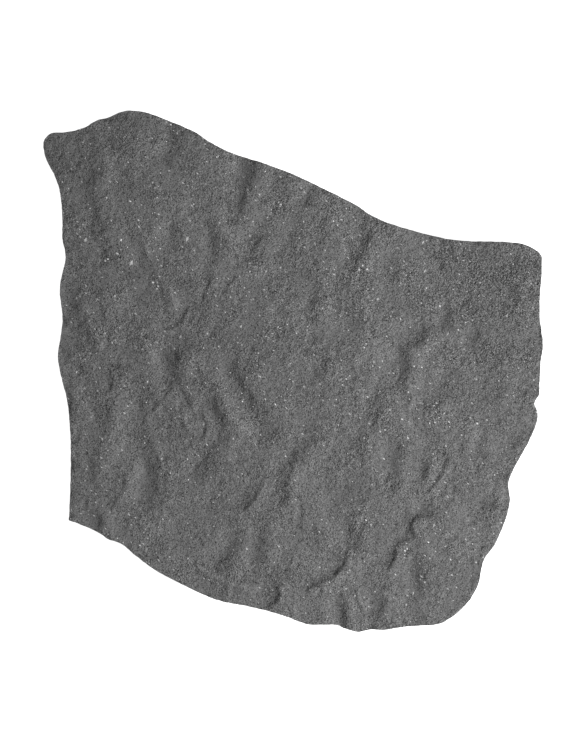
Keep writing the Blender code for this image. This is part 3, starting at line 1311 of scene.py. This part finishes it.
@dataclass
class StoneSlab:
    """The whole stone as one closed piece.

    Attributes:
        across: steps of the face's grid across the slab.
        along: steps of the face's grid along the slab.
        sharp_angle: faces that meet at more than this keep a sharp edge.
    """

    across: int = 280
    along: int = 250
    sharp_angle: float = math.radians(48)

    def shape(self) -> bpy.types.Mesh:
        """Builds the stone's mesh.

        Returns:
            The mesh, with the attributes that its finishes read.
        """
        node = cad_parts[CAD_NODE]
        stations = Outline(node).stations(self.across, self.along)
        bm = bmesh.new()
        ring = self.lay_face(bm, CleftFace(stations, node))
        ring = self.drop_side(bm, SplitEdge(stations), ring)
        last = [e for e in bm.edges if e.verts[0] in ring and e.verts[1] in ring]
        for flat in bmesh.ops.contextual_create(bm, geom=last)["faces"]:
            flat.material_index = Part.SAWN.value
        bmesh.ops.recalc_face_normals(bm, faces=bm.faces[:])
        self.put_in_order(bm)
        mesh = bpy.data.meshes.new("riven_slab")
        bm.to_mesh(mesh)
        bm.free()
        mesh.shade_smooth()
        mesh.set_sharp_from_angle(angle=self.sharp_angle)
        return mesh

    def lay_face(self, bm: bmesh.types.BMesh, face: CleftFace) -> Ring:
        """Lays the riven face as a grid.

        Args:
            bm: the mesh, still empty.
            face: the face.

        Returns:
            Each vertex of the face's rim, with its station.
        """
        layers = {name: bm.verts.layers.float.new(name) for name in face.finish}
        half = 0.5  # of the grid's side, until its corners are placed
        bmesh.ops.create_grid(bm, x_segments=self.across, y_segments=self.along, size=half)
        ring = {}
        for vert in bm.verts:
            i, j = round((vert.co.x + half) * self.across), round((vert.co.y + half) * self.along)
            vert.co = face.x[j, i], face.y[j, i], face.z[j, i]
            for name, layer in layers.items():
                vert[layer] = face.finish[name][j, i]
            if vert.is_boundary:
                ring[vert] = face.stations.index(i, j)
        return ring

    def drop_side(self, bm: bmesh.types.BMesh, edge: SplitEdge, ring: Ring) -> Ring:
        """Drops the split side from the face's rim to the back.

        Args:
            bm: the mesh with its face.
            edge: the side.
            ring: each vertex of the face's rim, with its station.

        Returns:
            Each vertex of the back's rim, with its station.
        """
        rims = {index: vert.co.copy() for vert, index in ring.items()}
        layers = bm.verts.layers.float
        for row in range(1, edge.rows + 2):
            ring = self.next_ring(bm, ring)
            finish = dict.fromkeys(layers.keys(), 1.0) | {"hollow": 0.0, "split": min(1.0, edge.darkening * row)}
            for vert, index in ring.items():
                vert.co = edge.place(index, row, rims[index])
                for name, value in finish.items():
                    vert[layers[name]] = value
        return ring

    @staticmethod
    def next_ring(bm: bmesh.types.BMesh, ring: Ring) -> Ring:
        """Extrudes a closed ring of edges.

        Args:
            bm: the mesh.
            ring: each vertex of the ring, with its station.

        Returns:
            The new ring, in the same form.
        """
        edges = [e for e in bm.edges if e.is_boundary and e.verts[0] in ring and e.verts[1] in ring]
        made = bmesh.ops.extrude_edge_only(bm, edges=edges)["geom"]
        found = {}
        for vert in (item for item in made if isinstance(item, bmesh.types.BMVert)):
            above = next(e.other_vert(vert) for e in vert.link_edges if e.other_vert(vert) in ring)
            found[vert] = ring[above]
        return found

    @staticmethod
    def put_in_order(bm: bmesh.types.BMesh) -> None:
        """Orders the mesh by where its corners lie, because an extrusion leaves it in another order each run.

        Args:
            bm: the mesh.
        """
        bm.verts.sort(key=lambda vert: vert.co.dot(SORTING_WAY))
        bm.verts.index_update()
        count = float(len(bm.verts))
        for elements in (bm.edges, bm.faces):
            elements.sort(key=lambda e: sum(i / count**n for n, i in enumerate(sorted(v.index for v in e.verts)[:3])))

    def build(self) -> bpy.types.Object:
        """Builds and dresses the stone, and puts it in the CAD solid's place.

        Returns:
            The stone.
        """
        slab = bpy.data.objects.new("riven_slab", self.shape())
        bpy.context.scene.collection.objects.link(slab)
        grain, flecks = MineralGrain().group(), PaleFlecks().group()
        for part in Part:
            slab.data.materials.append(FINISHES[part].material(grain, flecks))
        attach(slab, "root")
        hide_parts(CAD_NODE)
        return slab


@dataclass
class Studio:
    """A bright light table, one soft lamp low on the right, and a camera straight above.

    Attributes:
        floor_radius: of the light table.
        floor_sides: of its round outline.
        floor_gap: how far the table lies under the stone, so that their faces don't meet.
        floor_grey: its colour, as one linear value.
        floor_roughness: of its surface.
        glow: light that the table gives off.
        ambient: brightness of the sky.
        lamp_place: middle of the lamp, from the middle of the stone.
        lamp_size: side of the square lamp.
        lamp_power: in watts.
        lens: focal length of the camera, in mm.
        sensor: width of its sensor, in mm.
        frame_length: what the frame's long side shows of the stone.
        frame_level: height at which it shows that much.
        aim: where the camera looks, from the middle of the stone.
    """

    floor_radius: float = 12.0
    floor_sides: int = 64
    floor_gap: float = 0.3 * MM
    floor_grey: float = 0.8
    floor_roughness: float = 0.9
    glow: float = 0.95
    ambient: float = 0.28
    lamp_place: tuple[float, float, float] = (1.6, -0.52, 0.95)
    lamp_size: float = 0.5
    lamp_power: float = 68.0
    lens: float = 85.0
    sensor: float = 36.0
    frame_length: float = 0.6728
    frame_level: float = 24.0 * MM
    aim: tuple[float, float] = (-4.7 * MM, -3.4 * MM)

    def build(self) -> None:
        """Makes the table, the lights and the camera."""
        self.table()
        self.sky()
        self.lamp()
        self.camera()
        bpy.context.scene.view_settings.view_transform = "Standard"

    def table(self) -> None:
        """Makes the pale light table."""
        bm = bmesh.new()
        bmesh.ops.create_circle(bm, cap_ends=True, radius=self.floor_radius, segments=self.floor_sides)
        bmesh.ops.translate(bm, verts=bm.verts, vec=(0, 0, cad_box[0].z - self.floor_gap))
        mesh = bpy.data.meshes.new("light_table")
        bm.to_mesh(mesh)
        bm.free()
        material = bpy.data.materials.new("light_table")
        material.use_nodes = True
        looks = {
            "Base Color": (*[self.floor_grey] * 3, 1.0),
            "Roughness": self.floor_roughness,
            "Emission Color": WHITE,
            "Emission Strength": self.glow,
        }
        Nodes(material.node_tree).feed(material.node_tree.nodes["Principled BSDF"], looks)
        mesh.materials.append(material)
        table = bpy.data.objects.new("light_table", mesh)
        bpy.context.scene.collection.objects.link(table)

    def sky(self) -> None:
        """Makes the even light all round."""
        world = bpy.data.worlds.new("studio")
        world.use_nodes = True
        nodes = Nodes(world.node_tree)
        seen = nodes.add("ShaderNodeLightPath").outputs["Is Camera Ray"]
        strength = nodes.ramp(seen, 0.0, 1.0, self.ambient, 1.0)
        nodes.feed(nodes.tree.nodes["Background"], {"Color": WHITE, "Strength": strength})
        bpy.context.scene.world = world

    def lamp(self) -> None:
        """Makes the soft lamp, pointed at the stone."""
        light = bpy.data.lights.new("softbox", "AREA")
        light.shape = "SQUARE"
        light.size = self.lamp_size
        light.energy = self.lamp_power
        lamp = bpy.data.objects.new("softbox", light)
        lamp.location = self.lamp_place
        lamp.rotation_mode = "QUATERNION"
        lamp.rotation_quaternion = Vector(self.lamp_place).to_track_quat("Z", "Y")
        lamp.visible_camera = False
        bpy.context.scene.collection.objects.link(lamp)

    def camera(self) -> None:
        """Makes the camera, straight above the stone with +Y up the frame."""
        data = bpy.data.cameras.new("camera")
        data.lens = self.lens
        data.sensor_width = self.sensor
        camera = bpy.data.objects.new("camera", data)
        height = self.frame_level + self.frame_length * self.lens / self.sensor
        camera.location = (*self.aim, height)
        bpy.context.scene.collection.objects.link(camera)
        bpy.context.scene.camera = camera


def main() -> None:
    """Builds the stone and the studio."""
    logging.basicConfig(level=logging.INFO, format="%(name)s: %(message)s")
    slab = StoneSlab().build()
    log.info("%s: %d faces", slab.name, len(slab.data.polygons))
    Studio().build()
    log.info("studio: light table, sky, softbox and camera")


if __name__ == "__main__":
    main()
